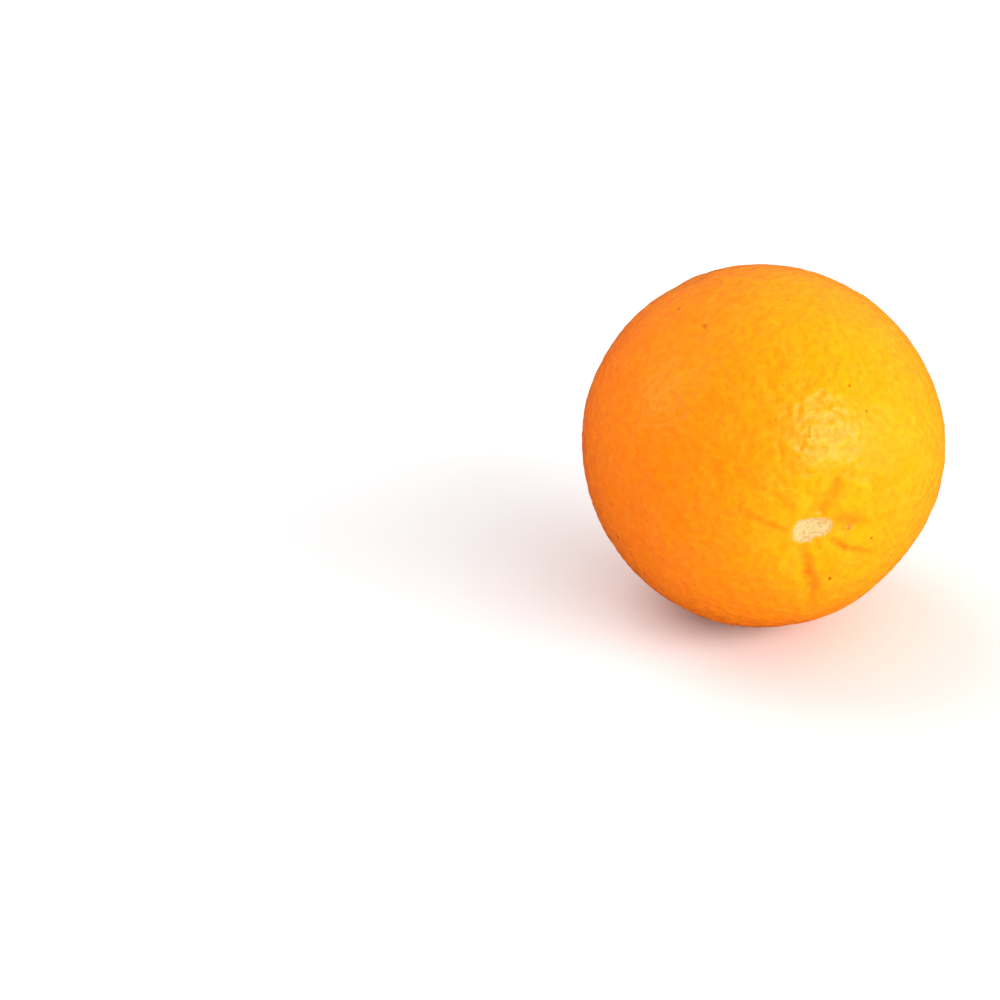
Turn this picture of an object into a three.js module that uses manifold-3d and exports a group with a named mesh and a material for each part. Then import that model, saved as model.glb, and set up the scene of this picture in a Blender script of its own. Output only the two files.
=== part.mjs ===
// A whole orange, as picked: one solid, lying on its side on a small flat spot of its peel.
//
// Millimetres, +Z up. The stem axis lies along Y: the stem end faces -Y and the blossom end faces +Y.
// The origin is at the height of the flat spot, in the middle of the fruit's outline seen from above.

import * as THREE from 'three';
import { mergeVertices } from 'three/addons/utils/BufferGeometryUtils.js';
import Module from 'manifold-3d';

// ---- overall sizes

const equatorDiameter = 78;
const axisLength = 80.5;
const restSpotRadius = 7;

// ---- stem end: a shallow dimple that holds a dry, kidney-shaped scar; the scar's middle is beside the stem axis

const stemDimpleDepth = 1.5;
const stemDimpleRadius = 9;
const scarMiddle = { x: 0.1, z: -0.5 };
const scarLength = 8.8;
const scarWidth = 5.4;
const scarDepth = 0.4;
const scarTilt = 7;
const scarNotchDepth = 0.6;

// ---- blossom end: a smaller dimple round the mark where the flower fell off

const blossomDimpleDepth = 0.7;
const blossomDimpleRadius = 6;
const blossomScarRadius = 1.7;
const blossomScarDepth = 0.5;

// ---- furrows that run out from the stem scar: each starts at x, z beside the stem axis
// Headings are in degrees, from +X towards +Z.

const furrows = [
  { x: -2.2, z: -3.2, heading: -75, length: 22, depth: 0.8, halfWidth: 2.2 },
  { x: 3.4, z: -3.1, heading: -32, length: 16, depth: 0.6, halfWidth: 1.9 },
  { x: 3.6, z: 0.5, heading: 0, length: 9, depth: 0.5, halfWidth: 2.2 },
  { x: 0.6, z: 2.2, heading: 58, length: 14, depth: 0.55, halfWidth: 2.0 },
  { x: -4.8, z: 0.0, heading: 158, length: 14, depth: 0.45, halfWidth: 1.9 },
  { x: -4.0, z: -3.0, heading: 214, length: 11, depth: 0.3, halfWidth: 2.0 },
];
const furrowOpensBy = 0.3;
const furrowClosesFrom = 0.4;

// ---- broad swells and flats that keep the fruit from being a perfect ellipsoid
// around goes round the stem axis in degrees, from +X towards +Z, and towardBlossom is the angle from the equator.

const swells = [
  { around: 0, towardBlossom: -14, height: 0.4 },
  { around: 88, towardBlossom: 29, height: 0.3 },
  { around: 150, towardBlossom: 26, height: 0.15 },
  { around: -40, towardBlossom: -29, height: -0.75 },
  { around: 205, towardBlossom: 8, height: -0.4 },
  { around: 262, towardBlossom: 38, height: 0.3 },
  { around: 45, towardBlossom: 60, height: -0.35 },
];
const swellBreadth = 26;

// ---- how gradually a scar's rim falls away, as a share of the scar's own size

const rimSoftness = 0.35;

// ---- fineness of the mesh

const sectors = 72;
const rings = 42;
const poleCrowding = 0.55;

// ---- worked out from the sizes above

const equatorRadius = equatorDiameter / 2;
const halfAxis = axisLength / 2;
const restSpotSag = (sagOf(equatorRadius) + sagOf(halfAxis)) / 2;
const { degToRad, smoothstep } = THREE.MathUtils;

// How far a circle of this radius falls away over the radius of the flat spot.
function sagOf(radius) {
  return radius - Math.sqrt(radius ** 2 - restSpotRadius ** 2);
}

const wasm = await Module();
wasm.setup();

// The half outline, from the stem pole to the blossom pole. The points crowd together near both poles,
// where the dimples and furrows need them.
function halfOutline() {
  const points = [];
  for (let i = 0; i <= rings; i += 1) {
    const share = i / rings;
    const crowded = share - (poleCrowding * Math.sin(2 * Math.PI * share)) / (2 * Math.PI);
    const angle = Math.PI * crowded;
    const onAxis = i === 0 || i === rings;
    const radius = onAxis ? 0 : equatorRadius * Math.sin(angle);
    points.push(new THREE.Vector2(radius, -halfAxis * Math.cos(angle)));
  }
  return points;
}

// A bell-shaped falloff: 1 at the middle, about a third at the given breadth.
function bell(distance, breadth) {
  return Math.exp(-((distance / breadth) ** 2));
}

function swellDirection({ around, towardBlossom }) {
  const turn = degToRad(around);
  const rise = degToRad(towardBlossom);
  return new THREE.Vector3(
    Math.cos(rise) * Math.cos(turn),
    Math.sin(rise),
    Math.cos(rise) * Math.sin(turn),
  );
}

function swellHeight(direction) {
  return swells.reduce((sum, swell) => {
    const apart = direction.angleTo(swellDirection(swell));
    return sum + swell.height * bell(apart, degToRad(swellBreadth));
  }, 0);
}

// The place x, z as seen from a start place: how far along the heading, and how far across it.
function alongAndAcross(x, z, start, heading) {
  const turn = degToRad(heading);
  const right = x - start.x;
  const up = z - start.z;
  return {
    along: right * Math.cos(turn) + up * Math.sin(turn),
    across: up * Math.cos(turn) - right * Math.sin(turn),
  };
}

// How deep the furrows are at a place x, z beside the stem axis.
function furrowDepth(x, z) {
  return furrows.reduce((sum, furrow) => {
    const { along, across } = alongAndAcross(x, z, furrow, furrow.heading);
    const opens = smoothstep(along, 0, furrowOpensBy * furrow.length);
    const closes = 1 - smoothstep(along, furrowClosesFrom * furrow.length, furrow.length);
    return sum + furrow.depth * opens * closes * bell(across, furrow.halfWidth);
  }, 0);
}

// 1 inside a scar and 0 outside it. outward is 0 at the scar's middle and 1 at its edge.
function insideScar(outward) {
  return 1 - smoothstep(outward, 1 - rimSoftness / 2, 1 + rimSoftness / 2);
}

// The stem scar is an ellipse whose middle is pushed up, which notches its lower edge and makes it a kidney.
function stemScarOutward(x, z) {
  const { along, across } = alongAndAcross(x, z, scarMiddle, scarTilt);
  const bend = scarNotchDepth * (bell(along, scarLength / 4) - 0.5);
  return Math.hypot(along / (scarLength / 2), (across - bend) / (scarWidth / 2));
}

// How far the surface sinks below the swollen ellipsoid at a point.
function sunkBy(point) {
  const fromAxis = Math.hypot(point.x, point.z);
  if (point.y > 0) {
    const dimple = blossomDimpleDepth * bell(fromAxis, blossomDimpleRadius);
    return dimple + blossomScarDepth * insideScar(fromAxis / blossomScarRadius);
  }
  const dimple = stemDimpleDepth * bell(fromAxis, stemDimpleRadius);
  const scar = scarDepth * insideScar(stemScarOutward(point.x, point.z));
  return dimple + furrowDepth(point.x, point.z) + scar;
}

function peelSurface() {
  const lathe = new THREE.LatheGeometry(halfOutline(), sectors);
  lathe.deleteAttribute('normal');
  lathe.deleteAttribute('uv');
  const surface = mergeVertices(lathe);
  const places = surface.getAttribute('position');
  const point = new THREE.Vector3();
  const direction = new THREE.Vector3();
  for (let i = 0; i < places.count; i += 1) {
    point.fromBufferAttribute(places, i);
    direction.copy(point).normalize();
    const outward = swellHeight(direction) - sunkBy(point);
    point.addScaledVector(direction, outward);
    places.setXYZ(i, point.x, point.y, point.z);
  }
  return surface;
}

function toSolid(geometry) {
  const plain = geometry.clone();
  plain.deleteAttribute('normal');
  plain.deleteAttribute('uv');
  const merged = mergeVertices(plain);
  const mesh = new wasm.Mesh({
    numProp: 3,
    vertProperties: new Float32Array(merged.getAttribute('position').array),
    triVerts: new Uint32Array(merged.index.array),
  });
  return new wasm.Manifold(mesh);
}

function toGeometry(solid) {
  const mesh = solid.getMesh();
  const geometry = new THREE.BufferGeometry();
  geometry.setAttribute('position', new THREE.BufferAttribute(mesh.vertProperties, 3));
  geometry.setIndex(new THREE.BufferAttribute(mesh.triVerts, 1));
  geometry.computeVertexNormals();
  return geometry;
}

// The flat spot: a block as wide as two fruits takes off the lowest part of the peel.
function cutRestSpot(surface) {
  surface.computeBoundingBox();
  const blockSide = 2 * Math.max(equatorDiameter, axisLength);
  const cutHeight = surface.boundingBox.min.z + restSpotSag;
  const block = new THREE.BoxGeometry(blockSide, blockSide, blockSide);
  block.translate(0, 0, cutHeight - blockSide / 2);
  return toGeometry(toSolid(surface).subtract(toSolid(block)));
}

const peel = new THREE.MeshStandardMaterial({ color: 0xff9a12, roughness: 0.42, metalness: 0 });

const orange = new THREE.Mesh(cutRestSpot(peelSurface()), peel);
orange.name = 'orange';
orange.geometry.computeBoundingBox();
const middle = orange.geometry.boundingBox.getCenter(new THREE.Vector3());
orange.position.set(-middle.x, -middle.y, -orange.geometry.boundingBox.min.z);

const part = new THREE.Group();
part.add(orange);

export default part;
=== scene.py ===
# %% [markdown]
# # A whole orange, lying on its side
#
# This notebook dresses a plain solid of an orange in a real peel. The solid comes from the CAD model and
# fixes the size, the roundness, the stem dimple and the flat spot that the fruit lies on. Blender adds
# what the hand and the eye would find on the skin: oil glands, puffy unevenness, puckered furrows, a dry
# stem scar and a thin wax shine.
#
# Everything is in metres, with +Z up. The stem end looks towards -Y and the blossom end towards +Y.

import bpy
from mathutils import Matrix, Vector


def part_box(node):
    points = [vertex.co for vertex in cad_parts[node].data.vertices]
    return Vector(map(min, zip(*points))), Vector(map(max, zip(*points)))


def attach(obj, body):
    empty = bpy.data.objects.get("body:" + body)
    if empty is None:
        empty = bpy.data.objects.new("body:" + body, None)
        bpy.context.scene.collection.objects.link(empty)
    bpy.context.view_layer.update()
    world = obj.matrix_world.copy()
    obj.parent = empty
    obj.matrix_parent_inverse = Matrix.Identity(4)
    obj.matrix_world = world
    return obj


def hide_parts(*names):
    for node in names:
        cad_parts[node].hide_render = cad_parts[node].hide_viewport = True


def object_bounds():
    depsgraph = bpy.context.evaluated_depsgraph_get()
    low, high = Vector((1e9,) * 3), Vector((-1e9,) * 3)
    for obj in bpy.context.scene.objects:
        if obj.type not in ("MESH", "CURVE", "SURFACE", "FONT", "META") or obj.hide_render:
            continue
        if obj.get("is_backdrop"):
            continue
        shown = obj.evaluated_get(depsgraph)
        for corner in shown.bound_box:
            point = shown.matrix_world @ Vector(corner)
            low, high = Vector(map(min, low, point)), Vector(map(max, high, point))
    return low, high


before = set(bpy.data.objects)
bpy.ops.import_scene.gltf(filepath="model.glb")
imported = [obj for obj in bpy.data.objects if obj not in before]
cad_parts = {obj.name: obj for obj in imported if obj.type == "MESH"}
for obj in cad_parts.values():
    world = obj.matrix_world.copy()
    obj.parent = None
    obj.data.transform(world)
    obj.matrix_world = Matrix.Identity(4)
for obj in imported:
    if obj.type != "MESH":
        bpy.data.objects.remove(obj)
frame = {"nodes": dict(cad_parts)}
solid_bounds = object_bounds()
print("the solid's pieces:", ", ".join(frame["nodes"]))

# %% Measure the solid
import math
import random

import bmesh
import bpy
import numpy as np
from mathutils import Euler, Vector, noise
from mathutils.bvhtree import BVHTree
from mathutils.kdtree import KDTree

low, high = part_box("orange")
middle = (low + high) / 2
mm = 0.001
print("solid is", [round(side / mm, 2) for side in high - low], "mm along X, Y and Z")

# %% [markdown]
# ## The camera
#
# The fruit is looked at from in front of its stem end, a little from the left and from about 26 degrees
# above. A long lens keeps the fruit round: a wide lens this close would stretch it.
#
# The fruit doesn't sit in the middle of the view but to the right of it. Shifting the lens would do that
# too, but a real camera is simply turned, so this one is turned as well. A level camera has two angles to
# turn, pan and tilt, and a few rounds of small corrections bring the fruit to its place.

# %% Place and aim the camera
camera_round = math.radians(-16.3)
camera_above = math.radians(26.1)
camera_distance = 0.605
fruit_right = 0.262
fruit_up = 0.056
aiming_rounds = 20
lens_length = 100
film_width = 36
zoom = lens_length / film_width

lens_data = bpy.data.cameras.new("camera")
lens_data.lens = lens_length
lens_data.sensor_width = film_width
camera = bpy.data.objects.new("camera", lens_data)
bpy.context.scene.collection.objects.link(camera)
bpy.context.scene.camera = camera

towards_camera = Vector((
    math.sin(camera_round) * math.cos(camera_above),
    -math.cos(camera_round) * math.cos(camera_above),
    math.sin(camera_above),
))
camera.location = middle + camera_distance * towards_camera


def seen_at(place):
    """How far right of and above the view's middle a place is seen, as shares of the view's width."""
    seen = camera.rotation_euler.to_matrix().transposed() @ (place - camera.location)
    return zoom * seen.x / -seen.z, zoom * seen.y / -seen.z


def aim_camera(target, right, up):
    """Pans and tilts the level camera until the target is seen where it should be."""
    pan, tilt = camera_round, camera_above
    for _ in range(aiming_rounds):
        camera.rotation_euler = (math.pi / 2 - tilt, 0, pan)
        seen_right, seen_up = seen_at(target)
        pan += (right - seen_right) / zoom
        tilt += (up - seen_up) / zoom


aim_camera(middle, fruit_right, fruit_up)
shares = [round(share, 4) for share in seen_at(middle)]
print("the fruit's middle is seen", shares, "of the view's width right of and above its middle")

# %% [markdown]
# ## The light
#
# The fruit lies on a white sweep in a white room. Three big soft lights shape it: a low strong one at the
# right, a weaker one in front, and one behind on the left that keeps the far side from going dull. A sun
# lamp with a wide angle stands in for each softbox. It lights the floor evenly however far the floor
# reaches, so the floor stays white to its edge, where a real softbox would leave it grey.
#
# A peel glitters in small bright patches. Wide lights would add a grey veil over the whole fruit instead,
# which a polarising filter takes away in a real studio. Here the wide lights are kept out of the shine,
# the room and the floor show in it only a little, and two narrower lamps, which light nothing else, make
# the glints: the main patch in front on the right, and a faint one high on the left. Both are slightly
# cool, so that the glints look pale against the warm peel.

# %% Light the fruit
soft = math.radians(50)
glint = math.radians(33)
faint_glint = math.radians(26)
plain_white = (1.0, 1.0, 1.0)
cool_white = (0.8, 0.85, 1.0)


def add_sun(name, round_fruit, above, spread, brightness, tint=plain_white, only_shine=False):
    """A sun lamp that stands in for a softbox. Brightness 1 turns a white card that faces it just white."""
    data = bpy.data.lights.new(name, "SUN")
    data.angle = spread
    data.energy = brightness * math.pi
    data.color = tint
    lamp = bpy.data.objects.new(name, data)
    lamp.rotation_euler = (math.pi / 2 - math.radians(above), 0, math.radians(round_fruit))
    lamp.visible_glossy = only_shine
    lamp.visible_diffuse = not only_shine
    bpy.context.scene.collection.objects.link(lamp)


add_sun("side_light", round_fruit=64, above=5, spread=soft, brightness=1.7)
add_sun("front_light", round_fruit=32, above=22, spread=soft, brightness=0.65)
add_sun("back_light", round_fruit=-140, above=50, spread=soft, brightness=0.38)
add_sun(
    "glint_light", round_fruit=31, above=28, spread=glint, brightness=0.62,
    tint=cool_white, only_shine=True,
)
add_sun(
    "left_glint_light", round_fruit=-103, above=30, spread=faint_glint, brightness=0.09,
    tint=cool_white, only_shine=True,
)

# %% [markdown]
# ## The white room
#
# In a white studio the walls and the ceiling throw light back from everywhere, which fills the shadows.
# The world does that here. It could be an actual room with walls, but a plain background is enough,
# because nothing of the walls is seen. The Light Path node tells apart who is looking: the fruit is lit
# by the room, the peel's shine sees only a little of it, and the camera sees plain white.

# %% Build the room's light
room_light = 0.86
room_in_shine = 0.16
white_view = 1.0


def feed(tree, value, socket):
    """Links an output to a socket, or sets the socket to a plain value."""
    if isinstance(value, bpy.types.NodeSocket):
        tree.links.new(value, socket)
    else:
        socket.default_value = value


def unless(tree, when, plain, special):
    """A number that is plain, or special for the rays that the Light Path output names."""
    choice = tree.nodes.new("ShaderNodeMix")
    feed(tree, when, choice.inputs["Factor"])
    feed(tree, plain, choice.inputs["A"])
    feed(tree, special, choice.inputs["B"])
    return choice.outputs["Result"]


def white_room():
    """A world that lights the fruit softly, and that the camera sees as plain white."""
    world = bpy.data.worlds.new("white_room")
    world.use_nodes = True
    tree = world.node_tree
    tree.nodes.clear()
    path = tree.nodes.new("ShaderNodeLightPath")
    for_light = unless(tree, path.outputs["Is Glossy Ray"], room_light, room_in_shine)
    strength = unless(tree, path.outputs["Is Camera Ray"], for_light, white_view)
    background = tree.nodes.new("ShaderNodeBackground")
    background.inputs["Color"].default_value = (*plain_white, 1)
    output = tree.nodes.new("ShaderNodeOutputWorld")
    tree.links.new(strength, background.inputs["Strength"])
    tree.links.new(background.outputs["Background"], output.inputs["Surface"])
    return world


bpy.context.scene.world = white_room()
bpy.context.scene.view_settings.view_transform = "Standard"
print("world:", bpy.context.scene.world.name)

# %% [markdown]
# ## The floor
#
# The floor is a plain pale sheet that runs past every edge of the view. It isn't part of the fruit, so it
# is marked as stage. A studio uses a sheet that curves up behind, but a flat one is enough here, because
# the room behind it is white too. It looks white because of the light on it: its own colour is a light
# grey, so that the soft shadow round the fruit still shows.

# %% Lay the floor
floor_radius = 30
floor_shade = 0.74
floor_in_shine = 0.04
floor_corners = 96
paper_roughness = 0.9
paper_shine = 0.1


def lay_floor():
    """A round sheet at the height of the fruit's flat spot."""
    sheet = bmesh.new()
    bmesh.ops.create_circle(sheet, cap_ends=True, segments=floor_corners, radius=floor_radius)
    mesh = bpy.data.meshes.new("floor")
    sheet.to_mesh(mesh)
    sheet.free()
    floor = bpy.data.objects.new("floor", mesh)
    bpy.context.scene.collection.objects.link(floor)
    paper = bpy.data.materials.new("pale_paper")
    paper.use_nodes = True
    shader = paper.node_tree.nodes["Principled BSDF"]
    path = paper.node_tree.nodes.new("ShaderNodeLightPath")
    shade = unless(paper.node_tree, path.outputs["Is Glossy Ray"], floor_shade, floor_in_shine)
    paper.node_tree.links.new(shade, shader.inputs["Base Color"])
    shader.inputs["Roughness"].default_value = paper_roughness
    shader.inputs["Specular IOR Level"].default_value = paper_shine
    mesh.materials.append(paper)
    floor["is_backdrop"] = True
    return floor


floor = lay_floor()
print(floor.name, "is", 2 * floor_radius, "m across")

# %% [markdown]
# ## The bare skin
#
# A ball can be meshed in several ways. Rings and sectors crowd at the poles, and on this fruit a pole is
# just where the stem scar is. So the skin starts as a cube blown up into a ball: its squares stay nearly
# even everywhere, nothing pinches, and each of the six sides unfolds into a flat square for the paint.
#
# Each point looks outward from the fruit's middle and is moved out to the solid's surface. The solid is
# made of flat facets, so the distances are then averaged with their neighbours' until the facets are gone
# and the form is left.

# %% Blow a cube up into a ball
squares_per_side = 128
uv_columns, uv_rows = 3, 2
uv_margin = 0.01
digits_that_count = 7
cube_sides = (
    (Vector((0, -1, 0)), Vector((1, 0, 0)), Vector((0, 0, 1))),
    (Vector((1, 0, 0)), Vector((0, 1, 0)), Vector((0, 0, 1))),
    (Vector((0, 1, 0)), Vector((-1, 0, 0)), Vector((0, 0, 1))),
    (Vector((-1, 0, 0)), Vector((0, -1, 0)), Vector((0, 0, 1))),
    (Vector((0, 0, 1)), Vector((1, 0, 0)), Vector((0, 1, 0))),
    (Vector((0, 0, -1)), Vector((1, 0, 0)), Vector((0, -1, 0))),
)


def cube_ball():
    """Directions of a ball's points, its squares as four point numbers each, and each corner's UV."""
    steps = np.linspace(-1, 1, squares_per_side + 1)
    across, upward = np.meshgrid(np.tan(steps * math.pi / 4), np.tan(steps * math.pi / 4))
    share_across, share_up = np.meshgrid((steps + 1) / 2, (steps + 1) / 2)
    points, squares, flat = [], [], []
    for side, (out, right, up) in enumerate(cube_sides):
        grid = across[..., None] * np.array(right) + upward[..., None] * np.array(up) + np.array(out)
        points.append(grid.reshape(-1, 3))
        number = np.arange(across.size).reshape(across.shape) + side * across.size
        corners = [number[:-1, :-1], number[:-1, 1:], number[1:, 1:], number[1:, :-1]]
        squares.append(np.stack(corners, axis=-1).reshape(-1, 4))
        u = (side % uv_columns + uv_margin + share_across * (1 - 2 * uv_margin)) / uv_columns
        v = (side // uv_columns + uv_margin + share_up * (1 - 2 * uv_margin)) / uv_rows
        flat.append(np.stack([u, v], axis=-1).reshape(-1, 2))
    points, squares, flat = np.concatenate(points), np.concatenate(squares), np.concatenate(flat)
    points /= np.linalg.norm(points, axis=1, keepdims=True)
    rounded = np.round(points, digits_that_count)
    _, first, shared = np.unique(rounded, axis=0, return_index=True, return_inverse=True)
    shared = shared.reshape(-1)
    return points[first], shared[squares], flat[squares]


outward, squares, square_uvs = cube_ball()
print(len(outward), "points and", len(squares), "squares")

# %% Find the solid's surface in each direction, and smooth its facets away
smoothing_rounds = 80


def reach_of_solid():
    """How far out the solid's surface is from its middle, in each direction."""
    solid = frame["nodes"]["orange"].data
    corners = [vertex.co for vertex in solid.vertices]
    tree = BVHTree.FromPolygons(corners, [tuple(face.vertices) for face in solid.polygons])
    far = 2 * (high - low).length
    hits = [tree.ray_cast(middle, Vector(way), far) for way in outward]
    return np.array([distance for _, _, _, distance in hits])


def neighbour_pairs():
    """Each pair of points that share an edge, once each way."""
    edges = np.concatenate([squares[:, [i, (i + 1) % 4]] for i in range(4)])
    return np.unique(np.concatenate([edges, edges[:, ::-1]]), axis=0)


pairs = neighbour_pairs()
neighbour_count = np.bincount(pairs[:, 0])


def smoothed(values, rounds):
    """The values, each averaged with its neighbours' again and again."""
    for _ in range(rounds):
        around = np.bincount(pairs[:, 0], weights=values[pairs[:, 1]]) / neighbour_count
        values = (values + around) / 2
    return values


reach = smoothed(reach_of_solid(), smoothing_rounds)
bare = np.array(middle) + reach[:, None] * outward
print("the skin is", round(reach.min() / mm, 2), "to", round(reach.max() / mm, 2), "mm from the middle")

# %% [markdown]
# ## Places on the peel
#
# Furrows, scars and blemishes could be placed by their X, Y and Z, but then each one would have to be kept
# on the skin by hand. Here they are placed as a grower would describe them: how far round the stem axis,
# and how far from the stem end. Round the axis, 0 degrees points to +X and 90 degrees to +Z. Near either
# end of the fruit a place is simply its sideways distance x, z from the axis.

# %% Helpers for places and soft shapes
sideways = (bare - np.array(middle))[:, [0, 2]] / mm
from_axis = np.hypot(sideways[:, 0], sideways[:, 1])
stem_half = outward[:, 1] < 0
lattice_turns = (1.3, 0.7, 2.1)
lattice_shift = 10


def bell(distance, breadth):
    """1 at the middle, falling off smoothly, about a third at the breadth."""
    return np.exp(-((distance / breadth) ** 2))


def ramp(values, start, end):
    """0 up to the start, 1 from the end on, and smooth between them."""
    share = np.clip((values - start) / (end - start), 0, 1)
    return share * share * (3 - 2 * share)


def wander(size, seed, places=None):
    """Smooth noise over the skin, about -1 to 1, with bumps of this size in millimetres.

    Such noise is made on a lattice of cubes and shows it where the skin is nearly flat, so each seed
    turns the lattice its own way.
    """
    places = bare if places is None else places
    turn = np.array(Euler([seed * angle for angle in lattice_turns]).to_matrix())
    scaled = (places / (size * mm)) @ turn + lattice_shift * seed
    return np.array([noise.noise(Vector(place)) for place in scaled])


print(int(stem_half.sum()), "points are on the stem's half")

# %% [markdown]
# ## Oil glands
#
# The peel's grain is its oil glands. Each is a tiny sac under the skin, a millimetre or two from the
# next, and the skin over it sinks a little while the skin between them stays puffed up. A noise texture
# could fake that, but glands are spread much more evenly than noise is. So they are sown like seeds along
# a spiral, which spaces them evenly over a ball, and each is then nudged at random so that the spiral
# can't be seen.
#
# They are real dents in the mesh. Pebbles go with them, about as wide as the glands are apart, and break
# the shine into patches. Slower swells go under both, because a peel is never quite even.

# %% Sow the glands
gland_spacing = 1.55
gland_nudge = 0.3
gland_size_range = (0.75, 1.25)
hexagonal_packing = 0.866
skin_radius = float(reach.mean()) / mm
gland_seed = 11
random.seed(gland_seed)


def sow_glands():
    """Gland places on the ball, as directions, and each gland's own size."""
    count = int(4 * math.pi * skin_radius**2 / (hexagonal_packing * gland_spacing**2))
    golden_turn = math.pi * (3 - math.sqrt(5))
    places, sizes = [], []
    for i in range(count):
        height = 1 - 2 * (i + 0.5) / count
        ring = math.sqrt(1 - height**2)
        way = Vector((ring * math.cos(i * golden_turn), ring * math.sin(i * golden_turn), height))
        nudge = Vector([random.gauss(0, 1) for _ in range(3)]) * gland_nudge * gland_spacing / skin_radius
        places.append((way + nudge).normalized())
        sizes.append(random.uniform(*gland_size_range))
    return places, sizes


gland_places, gland_sizes = sow_glands()
print(len(gland_places), "glands")

# %% Press each gland into the skin
gland_radius = 0.45
glands_that_count = 3
small_pebble_share = 0.5
broad_swell_share = 1.6


def gland_dents():
    """0 between the glands and 1 at the bottom of each."""
    tree = KDTree(len(gland_places))
    for number, place in enumerate(gland_places):
        tree.insert(place, number)
    tree.balance()
    dents = np.zeros(len(outward))
    for point, way in enumerate(outward):
        for _, number, apart in tree.find_n(Vector(way), glands_that_count):
            own_radius = gland_radius * gland_sizes[number]
            dents[point] += math.exp(-((apart * skin_radius / own_radius) ** 2))
    return np.minimum(dents, 1)


dents = gland_dents()
pebbles = wander(size=2.0, seed=1) + small_pebble_share * wander(size=1.3, seed=2)
unevenness = wander(size=5, seed=3) + broad_swell_share * wander(size=14, seed=4)
print("glands cover", round(100 * float((dents > 0.5).mean())), "% of the peel")

# %% [markdown]
# ## The stem end
#
# Where the stem broke off there is a dry scar, pale as cork and shaped like a bean, in a shallow dimple.
# The peel puckers round it: a few furrows run out from it and fade, with puffy ribs between them. They
# could be sculpted by hand, but a furrow described by a few sizes is easy to move and to change. The
# solid already has the dimple and soft dents for most of the furrows, so here each one gets its narrow
# bed, and the scar its lip and its grain.

# %% Furrows
furrows = (
    {"x": -2.2, "z": -3.2, "heading": -75, "length": 22, "bend": 0, "depth": 0.5, "half_width": 1.1},
    {"x": 3.4, "z": -3.1, "heading": -31, "length": 15, "bend": 0, "depth": 0.45, "half_width": 0.8},
    {"x": 3.6, "z": 0.5, "heading": 0, "length": 9, "bend": 0, "depth": 0.6, "half_width": 1.7},
    {"x": 0.6, "z": 2.2, "heading": 58, "length": 13, "bend": 0, "depth": 0.5, "half_width": 1.2},
    {"x": -3.2, "z": 3.2, "heading": 137, "length": 9, "bend": 0, "depth": 0.14, "half_width": 1.0},
    {"x": -4.4, "z": -0.2, "heading": 174, "length": 13, "bend": -4.6, "depth": 0.34, "half_width": 0.75},
    {"x": -4.0, "z": -3.0, "heading": 214, "length": 10, "bend": 0, "depth": 0.14, "half_width": 1.1},
)
shoulder_share = 0.25
shoulder_away = 2
furrow_waver = 0.6
furrow_patchiness = 0.6
furrow_opens = (-0.05, 0.3)
furrow_closes = (0.3, 1.1)


def line_from(x, z, heading):
    """The distance of each point along and across a line that starts at x, z and runs at this angle."""
    c, s = math.cos(math.radians(heading)), math.sin(math.radians(heading))
    right, up = sideways[:, 0] - x, sideways[:, 1] - z
    return right * c + up * s, up * c - right * s


def furrow_beds():
    """How deep each point lies in a furrow, in millimetres, and how high on a furrow's puffy shoulder."""
    depth, shoulder = np.zeros(len(outward)), np.zeros(len(outward))
    waver = furrow_waver * wander(size=4, seed=5)
    patchy = furrow_patchiness * wander(size=2.5, seed=11)
    for furrow in furrows:
        along, across = line_from(furrow["x"], furrow["z"], furrow["heading"])
        share = along / furrow["length"]
        middle_line = furrow["bend"] * share.clip(0, 1) ** 2 + waver
        fade = ramp(share, *furrow_opens) * (1 - ramp(share, *furrow_closes)) * (1 + patchy)
        width = furrow["half_width"]
        depth += furrow["depth"] * fade * bell(across - middle_line, width)
        beside = np.abs(across - middle_line) - shoulder_away * width
        shoulder += shoulder_share * furrow["depth"] * fade * bell(beside, width)
    return np.where(stem_half, depth, 0), np.where(stem_half, shoulder, 0)


furrow_depth, furrow_shoulder = furrow_beds()
print("the furrows go down", round(float(furrow_depth.max()), 2), "mm more")

# %% The stem scar and the ribs round it
scar = {"x": 0.1, "z": -0.5, "heading": 7, "length": 8.4, "width": 5.3, "bluntness": 2.6}
scar_full_end = 1.1
scar_taper = 0.26
scar_raggedness = 0.05
notch_along = 0.7
notch_size = 0.6
notch_depth = 0.4
notch_starts = 0.2
outside = 9


def stem_scar_outward():
    """0 at the middle of the blunt, bean-shaped scar, 1 at its edge, and more outside it."""
    along, across = line_from(scar["x"], scar["z"], scar["heading"])
    half_length, half_width = scar["length"] / 2, scar["width"] / 2
    fullness = scar_full_end - scar_taper * ramp(along, -half_length, half_length)
    blunt = scar["bluntness"]
    lengthwise = np.abs(along / half_length) ** blunt
    crosswise = np.abs(across / half_width / fullness) ** blunt
    distance = (lengthwise + crosswise) ** (1 / blunt)
    below = ramp(-across, notch_starts * half_width, half_width)
    notch = notch_depth * bell(along - notch_along, notch_size) * below
    ragged = distance + notch + scar_raggedness * wander(size=1.2, seed=6)
    return np.where(stem_half, ragged, outside)


def ribs(count, breadth, strongest_at, fades_over, seed):
    """Soft ribs that run outward from the axis, about -1 to 1, strongest at one distance from it."""
    turn = np.arctan2(sideways[:, 1], sideways[:, 0])
    ring = count / (2 * math.pi)
    places = np.stack([ring * np.cos(turn), ring * np.sin(turn), from_axis / breadth], axis=1)
    return wander(1 / mm, seed, places) * bell(from_axis - strongest_at, fades_over)


stem_scar = stem_scar_outward()
stem_puckers = ribs(count=14, breadth=9, strongest_at=8, fades_over=5, seed=7) * stem_half
print("the scar has", int((stem_scar < 1).sum()), "points")

# %% [markdown]
# ## The blossom end
#
# At the other end the flower fell off long ago and left a small round brown mark in a shallow dimple.
# Nobody sees it from the front, but the fruit can be turned round. It is made as the stem end is, only
# smaller and round, so the same helpers serve.

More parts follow.
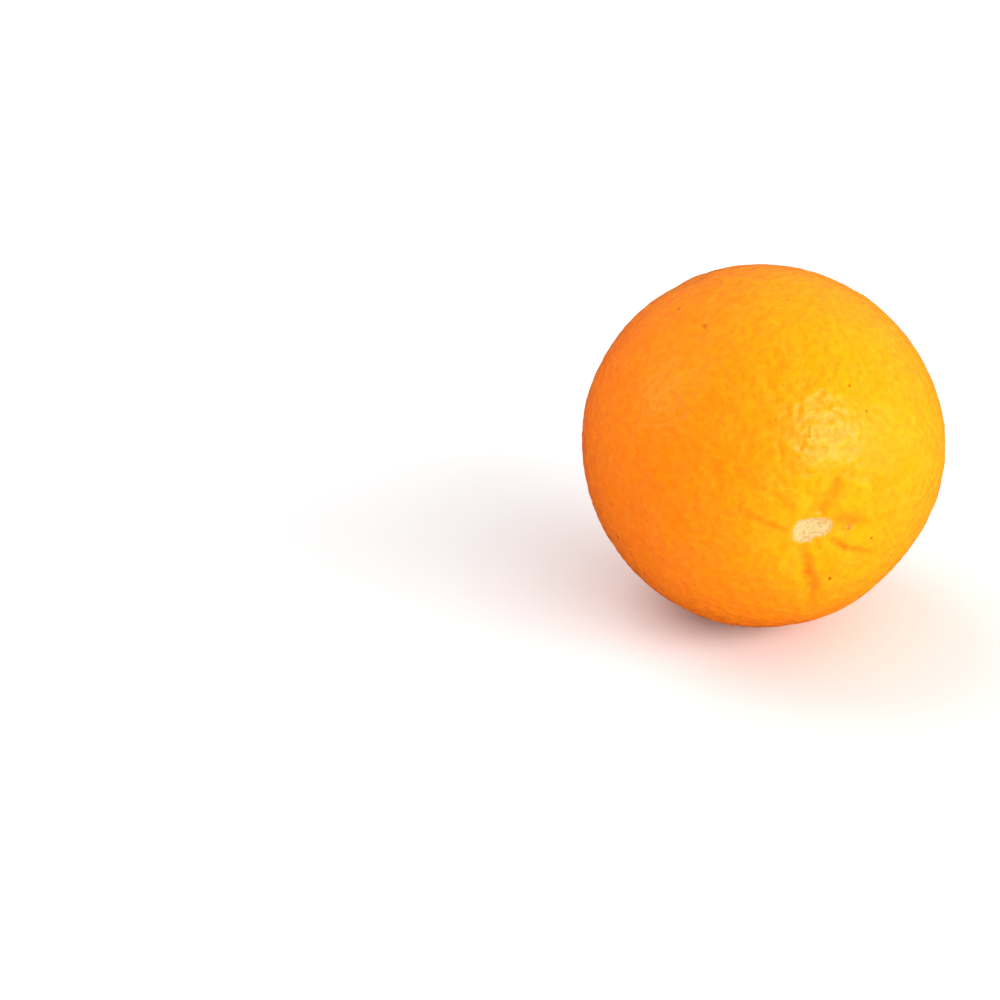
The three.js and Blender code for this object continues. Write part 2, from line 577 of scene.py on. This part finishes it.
# %% The blossom scar
blossom_scar_radius = 1.7
blossom_raggedness = 0.15
blossom_edge = from_axis / blossom_scar_radius + blossom_raggedness * wander(size=1.5, seed=8)
blossom_scar = np.where(stem_half, outside, blossom_edge)
blossom_puckers = ribs(count=9, breadth=5, strongest_at=4, fades_over=3, seed=9) * ~stem_half
print("the blossom scar has", int((blossom_scar < 1).sum()), "points")

# %% [markdown]
# ## Putting the skin together
#
# Every relief is a height in millimetres above or below the bare skin, so they simply add up. Each could
# be a modifier with its own texture instead, but sums are easier to follow and give the same mesh every
# time. The scars have no glands, so there the dents fade out and a dry, crumbly grain takes over. Last of
# all, nothing may sink into the table: what would reach below it is laid flat on it.

# %% Add up the relief and build the mesh
# Heights and depths in millimetres ...
gland_depth = 0.14
pebble_height = 0.125
uneven_height = 0.11
pucker_height = 0.25
scar_sink = 0.22
scar_lip = 0.14
crumb_height = 0.06

# ... and where each scar's parts are, as shares of the way from its middle to its edge
peel_begins = (0.9, 1.2)
stem_lip_at, stem_lip_breadth = 1.2, 0.25
blossom_lip_at, blossom_lip_breadth = 1.25, 0.3
blossom_lip_share = 0.5
stem_sink_ends = (0.75, 1.1)
blossom_sink_ends = (0.7, 1.2)

fine_relief = pebble_height * pebbles - gland_depth * dents


def relief():
    """The height of each point above the bare skin, in millimetres."""
    on_peel = ramp(np.minimum(stem_scar, blossom_scar), *peel_begins)
    stem_lip = bell(stem_scar - stem_lip_at, stem_lip_breadth)
    blossom_lip = blossom_lip_share * bell(blossom_scar - blossom_lip_at, blossom_lip_breadth)
    height = uneven_height * unevenness
    height += on_peel * fine_relief
    height += furrow_shoulder - furrow_depth
    height += pucker_height * (stem_puckers + blossom_puckers)
    height += scar_lip * (stem_lip + blossom_lip)
    height -= scar_sink * (1 - ramp(stem_scar, *stem_sink_ends))
    height -= scar_sink * (1 - ramp(blossom_scar, *blossom_sink_ends))
    height += crumb_height * (1 - on_peel) * wander(size=0.9, seed=10)
    return height


def build_skin(heights):
    """The finished skin as one closed mesh."""
    places = bare + outward * heights[:, None] * mm
    places[:, 2] = np.maximum(places[:, 2], low.z)
    mesh = bpy.data.meshes.new("orange_skin")
    mesh.from_pydata(places.tolist(), [], squares.tolist())
    mesh.shade_smooth()
    uv = mesh.uv_layers.new(name="OFBake")
    uv.data.foreach_set("uv", square_uvs.reshape(-1).astype(np.float32))
    mesh.update()
    skin = bpy.data.objects.new("orange_skin", mesh)
    bpy.context.scene.collection.objects.link(skin)
    return skin


heights = relief()
skin = build_skin(heights)
print("relief from", round(float(heights.min()), 2), "to", round(float(heights.max()), 2), "mm")

# %% [markdown]
# ## Marks that the paint can read
#
# The paint has to know where the furrows, the scars and the hollows between the pebbles are. It could
# find them again from their places, but the mesh already knows. So each is stored on the skin's points
# under a name, and the material reads it back by that name. A scar is stored as a distance and not as a
# mask: the material can then draw a sharp ragged edge finer than the mesh itself.

# %% Store the marks on the skin
full_furrow = 0.45
level_hollow = 0.4
hollow_range = 0.25
far_from_scar = 5
marks = {
    # The furrow and hollow marks also tell the paint where to darken the peel as painted shade.
    "furrow": np.clip(furrow_depth / full_furrow, 0, 1),
    "stem_scar": stem_scar.clip(0, far_from_scar),
    "blossom_scar": blossom_scar.clip(0, far_from_scar),
    "hollow": np.clip(level_hollow - fine_relief / hollow_range, 0, 1),
}
for name, values in marks.items():
    layer = skin.data.attributes.new(name, "FLOAT", "POINT")
    layer.data.foreach_set("value", values.astype(np.float32))
print("marks on the skin:", ", ".join(marks))

# %% [markdown]
# ## Patches and freckles
#
# Nothing grown is one flat colour. Two effects make it uneven, and each is a node group with its own
# controls, so that another fruit could use them too. One makes soft patches of a chosen size; the peel's
# tint, its wax, its pores and the crumbs of its scars all use it. The other scatters tiny round freckles:
# it cuts space into cells, keeps a few of them at random and puts a dot in each. Freckles could be placed
# one by one as well, but there are far too many.

# %% A node group for soft patches
noise_from, noise_to = 0.3, 0.7


def named_group(name, inputs, outputs):
    """A new node group with these named inputs and outputs, and its two end nodes."""
    group = bpy.data.node_groups.new(name, "ShaderNodeTree")
    for label, kind, value in inputs:
        socket = group.interface.new_socket(label, in_out="INPUT", socket_type=kind)
        if value is not None:
            socket.default_value = value
    for label, kind in outputs:
        group.interface.new_socket(label, in_out="OUTPUT", socket_type=kind)
    return group, group.nodes.new("NodeGroupInput"), group.nodes.new("NodeGroupOutput")


def math_node(tree, operation, *values):
    """A Math node. Each value is a number or a socket to link."""
    node = tree.nodes.new("ShaderNodeMath")
    node.operation = operation
    for socket, value in zip(node.inputs, values):
        feed(tree, value, socket)
    return node.outputs["Value"]


def range_node(tree, value, start, end, low_value=0.0, high_value=1.0):
    """A smooth Map Range node from start..end to low_value..high_value."""
    node = tree.nodes.new("ShaderNodeMapRange")
    node.interpolation_type = "SMOOTHSTEP"
    tree.links.new(value, node.inputs["Value"])
    node.inputs["From Min"].default_value = start
    node.inputs["From Max"].default_value = end
    node.inputs["To Min"].default_value = low_value
    node.inputs["To Max"].default_value = high_value
    return node.outputs["Result"]


def make_patches():
    """Soft patches: 0 to 1, about Size metres across."""
    group, start, end = named_group(
        "soft_patches",
        [
            ("Place", "NodeSocketVector", None),
            ("Size", "NodeSocketFloat", 0.01),
            ("Detail", "NodeSocketFloat", 2.0),
        ],
        [("Patches", "NodeSocketFloat")],
    )
    scale = math_node(group, "DIVIDE", 1.0, start.outputs["Size"])
    cloud = group.nodes.new("ShaderNodeTexNoise")
    group.links.new(start.outputs["Place"], cloud.inputs["Vector"])
    group.links.new(scale, cloud.inputs["Scale"])
    group.links.new(start.outputs["Detail"], cloud.inputs["Detail"])
    patches = range_node(group, cloud.outputs["Fac"], noise_from, noise_to)
    group.links.new(patches, end.inputs["Patches"])
    return group


patches_group = make_patches()
print("node group:", patches_group.name)

# %% A node group for freckles
smallest_freckle = 0.5
freckle_rim, freckle_core = 1.0, 0.5


def make_freckles():
    """Tiny dots: 1 inside a freckle and 0 outside. Share is how many of the cells hold one."""
    group, start, end = named_group(
        "freckles",
        [
            ("Place", "NodeSocketVector", None),
            ("Spacing", "NodeSocketFloat", 0.004),
            ("Radius", "NodeSocketFloat", 0.0003),
            ("Share", "NodeSocketFloat", 0.2),
        ],
        [("Freckles", "NodeSocketFloat")],
    )
    cells = group.nodes.new("ShaderNodeTexVoronoi")
    group.links.new(start.outputs["Place"], cells.inputs["Vector"])
    scale = math_node(group, "DIVIDE", 1.0, start.outputs["Spacing"])
    group.links.new(scale, cells.inputs["Scale"])
    distance = math_node(group, "MULTIPLY", cells.outputs["Distance"], start.outputs["Spacing"])
    pick = group.nodes.new("ShaderNodeSeparateColor")
    group.links.new(cells.outputs["Color"], pick.inputs["Color"])
    own_size = math_node(group, "ADD", pick.outputs["Green"], smallest_freckle)
    own_radius = math_node(group, "MULTIPLY", start.outputs["Radius"], own_size)
    how_far_out = math_node(group, "DIVIDE", distance, own_radius)
    inside = range_node(group, how_far_out, freckle_rim, freckle_core)
    kept = math_node(group, "LESS_THAN", pick.outputs["Red"], start.outputs["Share"])
    group.links.new(math_node(group, "MULTIPLY", inside, kept), end.inputs["Freckles"])
    return group


freckles_group = make_freckles()
print("node group:", freckles_group.name)

# %% [markdown]
# ## The peel's material
#
# One material paints the whole skin, because peel and scar grow into each other with no seam. Its colour
# is built like a glaze, from the widest effect to the smallest: first the peel itself, then its spots,
# and the scars on top. A painted image would do it too, but nodes stay sharp at any distance and are easy
# to change.
#
# The peel itself is a deep orange. It is painted more golden on the side that faces the lamps and round
# the stem end, which is painted light, and it is more golden in soft patches and a fine grain of several
# sizes, its own uneven tone. It is painted slightly redder in the furrow beds, which is painted shade, and
# in the hollows, where that is partly the glands' own deeper colour and partly painted shade.

# %% Helpers for colours and marks
def mark(tree, name):
    """A mark stored on the skin, read back as a number."""
    node = tree.nodes.new("ShaderNodeAttribute")
    node.attribute_name = name
    node.label = name
    return node.outputs["Fac"]


def mixed(tree, amount, first, second):
    """A colour between two, by an amount. Each colour is four numbers or an output."""
    node = tree.nodes.new("ShaderNodeMix")
    node.data_type = "RGBA"
    feed(tree, amount, node.inputs["Factor"])
    feed(tree, first, node.inputs["A"])
    feed(tree, second, node.inputs["B"])
    return node.outputs["Result"]


def grouped(tree, group, place, **values):
    """Places a node group in a tree, with its own values, and gives back its one output."""
    node = tree.nodes.new("ShaderNodeGroup")
    node.node_tree = group
    tree.links.new(place, node.inputs["Place"])
    for name, value in values.items():
        node.inputs[name].default_value = value
    return node.outputs[0]


def weighted_sum(tree, shares, **outputs):
    """Adds up several outputs, each times its share."""
    total = 0.0
    for name, output in outputs.items():
        total = math_node(tree, "MULTIPLY_ADD", output, shares[name], total)
    return total


def vector_number(tree, operation, place, other):
    """A number that a Vector Math node makes from a place and a fixed vector."""
    node = tree.nodes.new("ShaderNodeVectorMath")
    node.operation = operation
    feed(tree, place, node.inputs[0])
    feed(tree, other, node.inputs[1])
    return node.outputs["Value"]


def spot_on_skin(around, from_stem):
    """The place on the skin at these degrees round the axis and away from the stem end."""
    turn, away = math.radians(around), math.radians(from_stem)
    way = np.array((math.sin(away) * math.cos(turn), -math.cos(away), math.sin(away) * math.sin(turn)))
    return Vector(bare[np.argmax(outward @ way)])


stem_place = spot_on_skin(around=0, from_stem=0)
print("the stem end is at", [round(side / mm, 1) for side in stem_place], "mm")

# %% The peel itself
deep_orange = (0.93, 0.135, 0.0005, 1)
golden_orange = (0.96, 0.305, 0.0009, 1)
# Painted shade: the furrow beds are painted this redder orange, and so are the hollows, where it is partly
# the glands' own deeper colour and partly painted shade.
gland_and_shade_orange = (0.90, 0.09, 0.0003, 1)
# Of these golden shares, the first and the last are painted light; the three patch sizes are the peel's own
# uneven tone.
golden_shares = {"sun": 0.64, "wide": 0.11, "small": 0.11, "fine": 0.2, "near_stem": 0.4}
sunk_shares = {"hollow": 0.3, "furrow": 0.38}
wide_patch, small_patch, fine_patch = 0.022, 0.005, 0.0008
# Painted light: the peel is painted more golden within this reach of the stem end.
stem_light_reach = 0.02
lit_side_reach = 0.035
# Painted light and shade: the peel is painted golden on the side that faces this way, towards the lamps,
# and deep orange on the side away from them.
lit_side = Vector((0.8, -0.5, 0.38)).normalized()


def peel_colour(tree, place):
    """The colour of the peel alone, without its spots and scars."""
    # Painted light and shade: more golden towards the lamps, deeper orange away from them.
    towards_lights = vector_number(tree, "DOT_PRODUCT", place, lit_side)
    from_stem = vector_number(tree, "DISTANCE", place, stem_place)
    golden = weighted_sum(
        tree,
        golden_shares,
        sun=range_node(tree, towards_lights, -lit_side_reach, lit_side_reach),
        wide=grouped(tree, patches_group, place, Size=wide_patch),
        small=grouped(tree, patches_group, place, Size=small_patch, Detail=3.0),
        fine=grouped(tree, patches_group, place, Size=fine_patch),
        # Painted light round the stem end.
        near_stem=range_node(tree, from_stem, stem_light_reach, 0.0),
    )
    # Painted shade in the furrow beds; in the hollows partly the glands' own deeper colour, partly painted
    # shade.
    sunk = weighted_sum(tree, sunk_shares, hollow=mark(tree, "hollow"), furrow=mark(tree, "furrow"))
    return mixed(tree, sunk, mixed(tree, golden, deep_orange, golden_orange), gland_and_shade_orange)


print("the peel mixes", len(golden_shares), "golden effects")

# %% [markdown]
# ## Freckles and blemishes
#
# A picked fruit has knocks and specks. The finest are everywhere, so the freckle group scatters them. The
# larger ones are few, and one can tell a fruit by them, so each has its own place, size and strength. A
# small noise is added to the distance from its middle, which makes its edge ragged.

# %% Blemishes: a place in degrees round the axis and away from the stem end, and a radius in millimetres
blemishes = (
    {"around": 120, "from_stem": 90, "radius": 0.6, "strength": 0.5},
    {"around": 116, "from_stem": 75, "radius": 1.2, "strength": 0.45},
    {"around": 88, "from_stem": 77, "radius": 0.35, "strength": 0.7},
    {"around": 108, "from_stem": 35, "radius": 0.5, "strength": 0.4},
    {"around": 70, "from_stem": 45, "radius": 0.5, "strength": 0.9},
    {"around": 59, "from_stem": 39, "radius": 0.5, "strength": 0.9},
    {"around": 40, "from_stem": 41, "radius": 0.35, "strength": 0.7},
    {"around": 91, "from_stem": 28, "radius": 0.4, "strength": 0.6},
    {"around": -5, "from_stem": 12, "radius": 0.7, "strength": 1.0},
    {"around": -19, "from_stem": 21, "radius": 0.5, "strength": 1.0},
    {"around": -69, "from_stem": 21, "radius": 0.55, "strength": 1.0},
    {"around": 200, "from_stem": 70, "radius": 0.8, "strength": 0.7},
    {"around": 250, "from_stem": 110, "radius": 0.6, "strength": 0.6},
    {"around": 330, "from_stem": 120, "radius": 0.5, "strength": 0.7},
    {"around": 20, "from_stem": 130, "radius": 1.0, "strength": 0.4},
)
print(len(blemishes), "blemishes")

# %% Put the spots on the peel
freckle_brown = (0.06, 0.022, 0.002, 1)
freckle_look = {"Spacing": 0.005, "Radius": 0.00032, "Share": 0.12}
freckle_strength = 0.75
ragged_size = 0.0006
raggedness = 0.5
blemish_rim, blemish_core = 1.3, 0.4


def with_spots(tree, place, colour):
    """The peel's colour with its freckles and blemishes."""
    dots = grouped(tree, freckles_group, place, **freckle_look)
    colour = mixed(tree, math_node(tree, "MULTIPLY", dots, freckle_strength), colour, freckle_brown)
    ragged = math_node(tree, "MULTIPLY", grouped(tree, patches_group, place, Size=ragged_size), raggedness)
    marked = 0.0
    for blemish in blemishes:
        spot = spot_on_skin(blemish["around"], blemish["from_stem"])
        apart = vector_number(tree, "DISTANCE", place, spot)
        radii = math_node(tree, "MULTIPLY_ADD", apart, 1 / (blemish["radius"] * mm), ragged)
        inside = range_node(tree, radii, blemish_rim, blemish_core, 0.0, blemish["strength"])
        marked = math_node(tree, "MAXIMUM", marked, inside)
    return mixed(tree, marked, colour, freckle_brown)


print("the smallest blemish is", min(blemish["radius"] for blemish in blemishes), "mm in radius")

# %% [markdown]
# ## The colour of the scars
#
# The stem scar is dry cork: cream, with straw-coloured crumbs. The blossom scar is older and browner.
# Each mask could simply be the mesh points inside the scar, but then its edge would be as coarse as the
# mesh. So the mask is drawn from the stored distance, and the crumbs fray its edge.

# %% Put the scars on the peel
scar_cream = (0.55, 0.38, 0.17, 1)
scar_straw = (0.46, 0.28, 0.08, 1)
blossom_brown = (0.13, 0.045, 0.015, 1)
blossom_tan = (0.40, 0.21, 0.085, 1)
crumb_size = 0.0006
straw_from, straw_to = 0.0, 0.55
stem_fray, blossom_fray = 0.22, 0.3
stem_rim, stem_core = 1.22, 0.98
blossom_rim, blossom_core = 1.3, 0.9


def with_scars(tree, place, colour):
    """The colour with the two scars on it, and a mask of where they are."""
    crumbs = grouped(tree, patches_group, place, Size=crumb_size, Detail=1.0)
    cream = mixed(tree, range_node(tree, crumbs, straw_from, straw_to), scar_straw, scar_cream)
    frayed = math_node(tree, "MULTIPLY_ADD", crumbs, stem_fray, mark(tree, "stem_scar"))
    stem = range_node(tree, frayed, stem_rim, stem_core)
    colour = mixed(tree, stem, colour, cream)
    cork = mixed(tree, crumbs, blossom_brown, blossom_tan)
    frayed = math_node(tree, "MULTIPLY_ADD", crumbs, blossom_fray, mark(tree, "blossom_scar"))
    blossom = range_node(tree, frayed, blossom_rim, blossom_core)
    colour = mixed(tree, blossom, colour, cork)
    return colour, math_node(tree, "MAXIMUM", stem, blossom)


print("crumbs are about", round(crumb_size / mm, 2), "mm wide")

# %% [markdown]
# ## Wax and pores
#
# The wax on the peel is smooth but a little uneven, so the roughness changes in patches. The scars have
# no wax and are dull. Pores finer than the mesh are left to a bump, which bends only the light: real
# dents that small would need many times more points. The shine is tinted warm, because white shine from
# the wide lights would veil the colour, and a little light goes under the skin, as it does in anything
# juicy.

# %% Finish the material
wax_patch = 0.004
wax_smooth, wax_dull = 0.2, 0.3
scar_dullness = 0.4
pore_size = 0.00045
pore_share, crumb_share = 0.6, 1.0
grain_height = 0.00006
grain_strength = 0.6
shine_level = 0.5
shine_tint = (1.0, 0.6, 0.28, 1)
juicy_share = 0.08
juicy_reach = 0.0015
juicy_spread = (1.0, 0.35, 0.1)


def fine_grain(tree, place, scar):
    """A bump for what is finer than the mesh: pores in the peel, and the crumbly scar."""
    pores = grouped(tree, patches_group, place, Size=pore_size)
    share = range_node(tree, scar, 0.0, 1.0, pore_share, crumb_share)
    bump = tree.nodes.new("ShaderNodeBump")
    bump.inputs["Distance"].default_value = grain_height
    bump.inputs["Strength"].default_value = grain_strength
    tree.links.new(math_node(tree, "MULTIPLY", pores, share), bump.inputs["Height"])
    return bump.outputs["Normal"]


def uneven_wax(tree, place, scar):
    """The roughness: patches of smoother and duller wax, and none on the scars."""
    wax = grouped(tree, patches_group, place, Size=wax_patch, Detail=3.0)
    on_peel = range_node(tree, wax, 0.0, 1.0, wax_smooth, wax_dull)
    return math_node(tree, "ADD", on_peel, math_node(tree, "MULTIPLY", scar, scar_dullness))


def make_peel():
    """The material of the whole skin."""
    material = bpy.data.materials.new("orange_peel")
    material.use_nodes = True
    tree = material.node_tree
    shader = tree.nodes["Principled BSDF"]
    place = tree.nodes.new("ShaderNodeTexCoord").outputs["Object"]
    colour = with_spots(tree, place, peel_colour(tree, place))
    colour, scar = with_scars(tree, place, colour)
    tree.links.new(colour, shader.inputs["Base Color"])
    tree.links.new(uneven_wax(tree, place, scar), shader.inputs["Roughness"])
    tree.links.new(fine_grain(tree, place, scar), shader.inputs["Normal"])
    shader.inputs["Specular IOR Level"].default_value = shine_level
    shader.inputs["Specular Tint"].default_value = shine_tint
    shader.inputs["Subsurface Weight"].default_value = juicy_share
    shader.inputs["Subsurface Radius"].default_value = juicy_spread
    shader.inputs["Subsurface Scale"].default_value = juicy_reach
    return material


skin.data.materials.append(make_peel())
print("material:", skin.data.materials[0].name)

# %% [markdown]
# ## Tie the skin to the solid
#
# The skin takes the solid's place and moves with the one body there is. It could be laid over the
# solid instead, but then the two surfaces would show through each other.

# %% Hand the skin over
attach(skin, "root")
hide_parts("orange")
print(skin.name, "rides on root and replaces orange")

# %% Gather both sizes
sizes = {
    "cad": [list(corner) for corner in solid_bounds],
    "visual": [list(corner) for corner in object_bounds()],
}
sides = [round((far - near) / mm, 2) for near, far in zip(*sizes["visual"])]
print("finished fruit is", sides, "mm")
